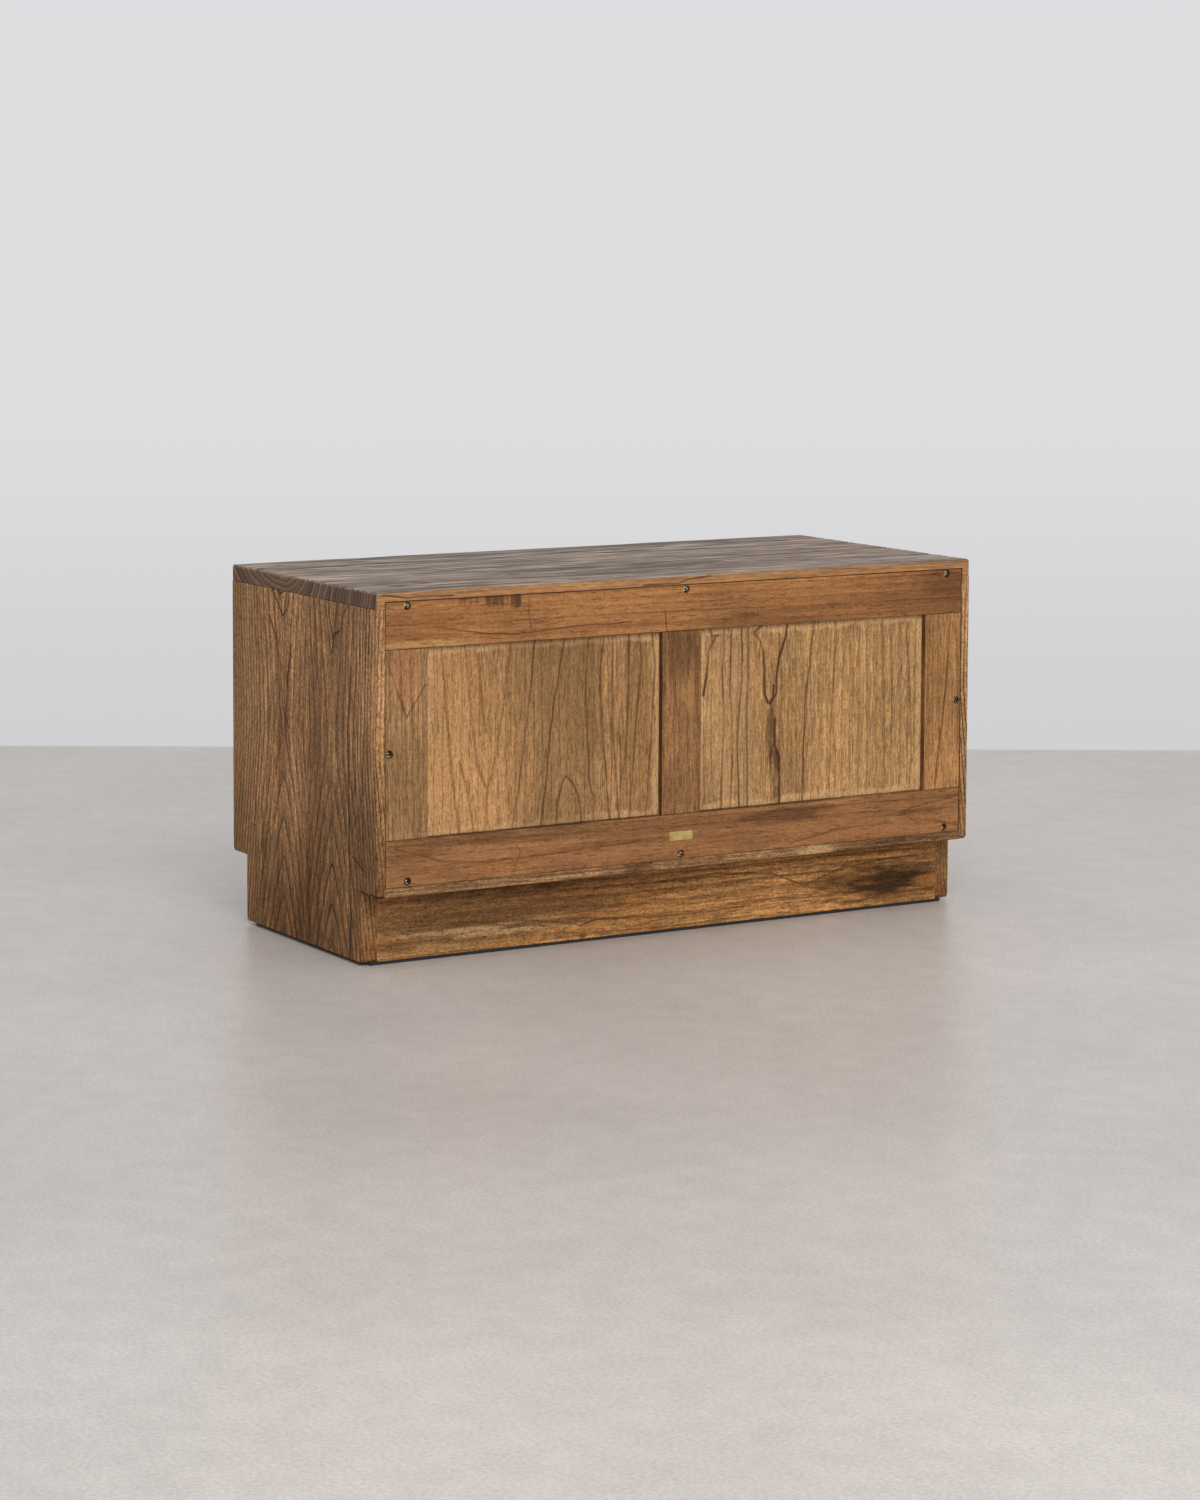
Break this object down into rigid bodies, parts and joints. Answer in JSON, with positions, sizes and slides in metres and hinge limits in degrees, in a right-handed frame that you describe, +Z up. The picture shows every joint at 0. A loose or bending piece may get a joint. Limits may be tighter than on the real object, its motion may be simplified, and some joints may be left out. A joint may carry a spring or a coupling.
{
  "type": "low cabinet",
  "caption": "Low solid-wood cabinet on a recessed plinth, with a brushed top, a screwed frame-and-panel back and sliding doors.",
  "frame": {"origin": "on the floor under the middle of the cabinet", "axes": "+X to the right seen from the front, +Y from the front to the back, +Z up"},
  "size_m": [1, 0.455, 0.525],
  "materials": {
    "top_wood": "wire-brushed, weathered grey-brown, oiled",
    "side_wood": "brushed brown, oiled, straight grain upright",
    "plinth_wood": "tan-brown with dark streaks, oiled",
    "rail_wood": "orange-brown, oiled, grain along the rail",
    "stile_wood": "mid-brown, oiled, grain upright",
    "panel_wood": "golden tan with dark growth rings, oiled",
    "door_frame_wood": "mid-brown, oiled",
    "door_panel_wood": "golden tan with dark growth rings, oiled",
    "dowel_wood": "plain pale dowel rod",
    "brass": "satin, slightly tarnished",
    "screw_steel": "zinc-plated screws",
    "glide_rubber": "matt black strip"
  },
  "bodies": {
    "carcass": {"top_board": "top_wood", "side_board_left": "side_wood", "side_board_right": "side_wood", "plinth_front": "plinth_wood", "plinth_back": "plinth_wood", "bottom_board": "plinth_wood", "plinth_glue_blocks": "plinth_wood", "back_top_rail": "rail_wood", "back_bottom_rail": "rail_wood", "back_stile_left": "stile_wood", "back_stile_right": "stile_wood", "back_mullion": "stile_wood", "back_panel_left": "panel_wood", "back_panel_right": "panel_wood", "top_dowels": "dowel_wood", "plinth_dowels": "dowel_wood", "brass_plate": "brass", "plate_pins": "brass", "back_screws": "screw_steel", "glide_strip_front": "glide_rubber", "glide_strip_back": "glide_rubber"},
    "door_left": {"door_left_top_rail": "door_frame_wood", "door_left_bottom_rail": "door_frame_wood", "door_left_outer_stile": "door_frame_wood", "door_left_inner_stile": "door_frame_wood", "door_left_panel": "door_panel_wood", "door_left_finger_cup": "brass"},
    "door_right": {"door_right_top_rail": "door_frame_wood", "door_right_bottom_rail": "door_frame_wood", "door_right_outer_stile": "door_frame_wood", "door_right_inner_stile": "door_frame_wood", "door_right_panel": "door_panel_wood", "door_right_finger_cup": "brass"}
  },
  "joints": [
    {"name": "door_left_slide", "type": "slide", "parent": "carcass", "child": "door_left", "axis": [1, 0, 0], "range_m": [0, 0.453]},
    {"name": "door_right_slide", "type": "slide", "parent": "carcass", "child": "door_right", "axis": [1, 0, 0], "range_m": [-0.453, 0]}
  ]
}
